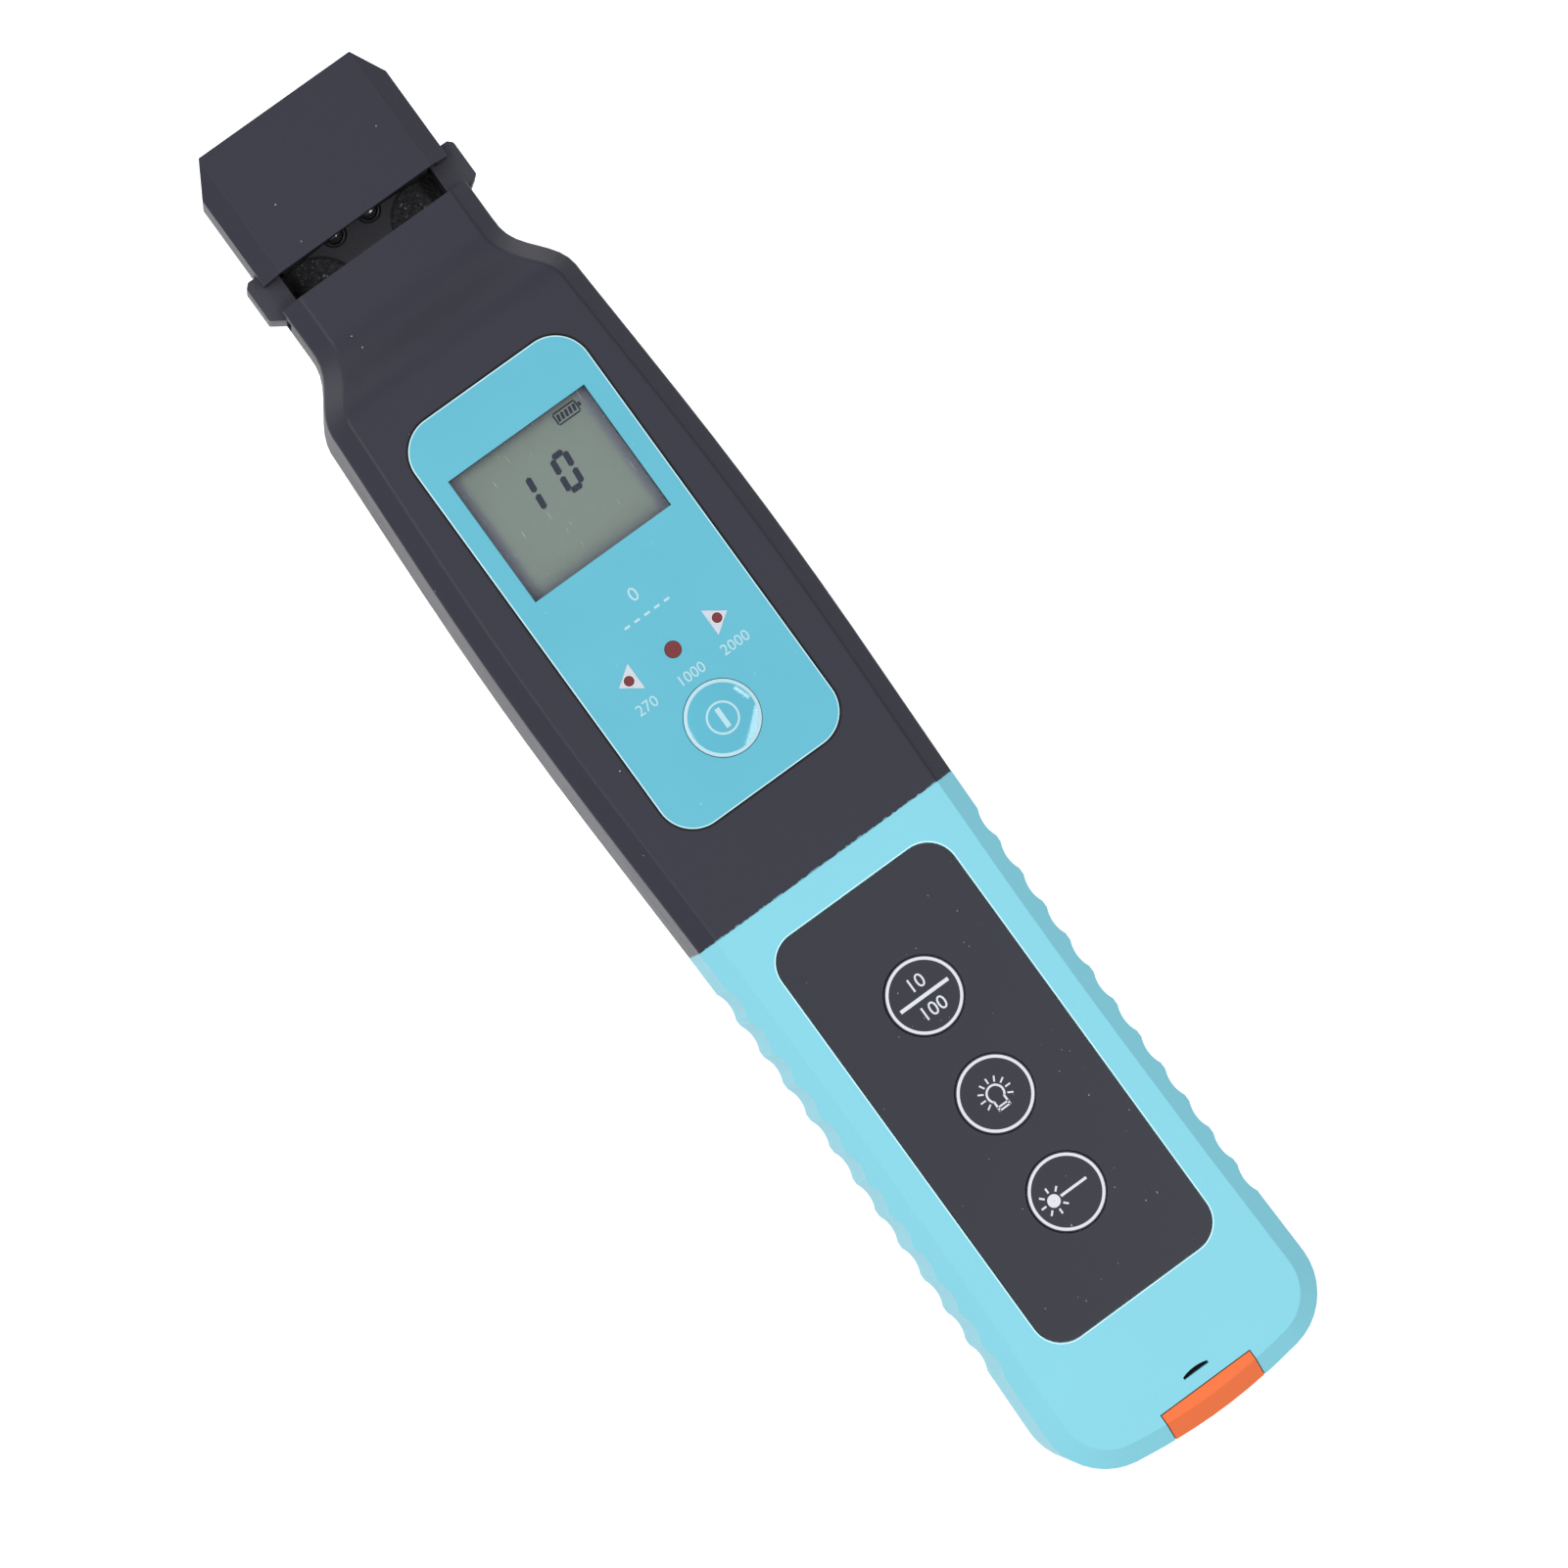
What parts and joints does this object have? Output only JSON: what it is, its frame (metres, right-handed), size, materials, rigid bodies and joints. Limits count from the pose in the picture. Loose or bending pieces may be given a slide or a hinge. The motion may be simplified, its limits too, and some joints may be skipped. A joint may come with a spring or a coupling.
{
  "type": "optical fibre identifier",
  "caption": "Hand-held optical fibre identifier: slotted clamping head, display, keys, ribbed grip and a capped visible-laser port at the tail.",
  "frame": {"origin": "centre of the length and width, on the flat rear face that it lies on", "axes": "+X to the right seen from the front, +Y from the tail to the head, +Z out of the front face"},
  "size_m": [0.0454, 0.226, 0.0305],
  "materials": {
    "black_plastic": "fine matt texture",
    "cyan_plastic": "soft satin",
    "cyan_overlay": "semi-gloss film",
    "black_overlay": "semi-gloss film",
    "cyan_key": "gloss dome",
    "black_key": "semi-gloss",
    "orange_plastic": "satin",
    "clear_window": "polished",
    "display": "reflective display film",
    "white_plastic": "matt",
    "red_light_pipe": "clear red",
    "circuit_board": "solder mask",
    "steel": "bright",
    "brass": "turned",
    "ceramic": "polished",
    "foam": "open cell",
    "lens": "polished",
    "cell_jacket": "shrink film"
  },
  "bodies": {
    "housing": {"front_shell": "black_plastic", "front_grip": "cyan_plastic", "rear_shell": "black_plastic", "rear_grip": "cyan_plastic", "head_cap": "black_plastic", "upper_overlay": "cyan_overlay", "lower_overlay": "black_overlay", "lcd_window": "clear_window", "lcd_panel": "display", "lcd_holder": "white_plastic", "light_pipes": "red_light_pipe", "indicator_leds": "white_plastic", "key_switches": "steel", "main_board": "circuit_board", "preamp_board": "circuit_board", "fibre_guide": "black_plastic", "foam_pads": "foam", "detector_lenses": "lens", "photodiodes": "black_plastic", "fixed_jaw": "black_plastic", "fixed_jaw_liner": "foam", "return_spring": "steel", "laser_module": "brass", "laser_port": "steel", "ferrule_sleeve": "ceramic", "cover_pin": "steel", "battery_left": "cell_jacket", "battery_right": "cell_jacket", "battery_contacts": "steel", "battery_springs": "steel", "housing_screws": "steel", "cap_screws": "steel", "board_screws": "steel"},
    "clamp": {"trigger": "black_plastic", "trigger_screw": "steel", "carriage": "steel", "moving_jaw": "black_plastic", "moving_jaw_pad": "foam"},
    "power_button": {"power_key": "cyan_key"},
    "units_button": {"units_key": "black_key"},
    "light_button": {"light_key": "black_key"},
    "laser_button": {"laser_key": "black_key"},
    "cover": {"port_cover": "orange_plastic"},
    "door": {"battery_door": "cyan_plastic"}
  },
  "joints": [
    {"name": "clamp_slide", "type": "slide", "parent": "housing", "child": "clamp", "axis": [0, 1, 0], "range_m": [0, 0.005], "stiffness_N_per_m": 300, "springref_m": -0.004, "deforming": ["return_spring"]},
    {"name": "power_press", "type": "slide", "parent": "housing", "child": "power_button", "axis": [0, 0, -1], "range_m": [0, 0.0004], "stiffness_N_per_m": 1500, "springref_m": -0.0002},
    {"name": "units_press", "type": "slide", "parent": "housing", "child": "units_button", "axis": [0, 0, -1], "range_m": [0, 0.0004], "stiffness_N_per_m": 1500, "springref_m": -0.0002},
    {"name": "light_press", "type": "slide", "parent": "housing", "child": "light_button", "axis": [0, 0, -1], "range_m": [0, 0.0004], "stiffness_N_per_m": 1500, "springref_m": -0.0002},
    {"name": "laser_press", "type": "slide", "parent": "housing", "child": "laser_button", "axis": [0, 0, -1], "range_m": [0, 0.0004], "stiffness_N_per_m": 1500, "springref_m": -0.0002},
    {"name": "port_cover_hinge", "type": "hinge", "parent": "housing", "child": "cover", "pos_m": [0, -0.1104, 0.0028], "axis": [1, 0, 0], "range_deg": [0, 90]},
    {"name": "battery_door_hinge", "type": "hinge", "parent": "housing", "child": "door", "pos_m": [0, -0.02365, 0], "axis": [1, 0, 0], "range_deg": [0, 70]}
  ]
}
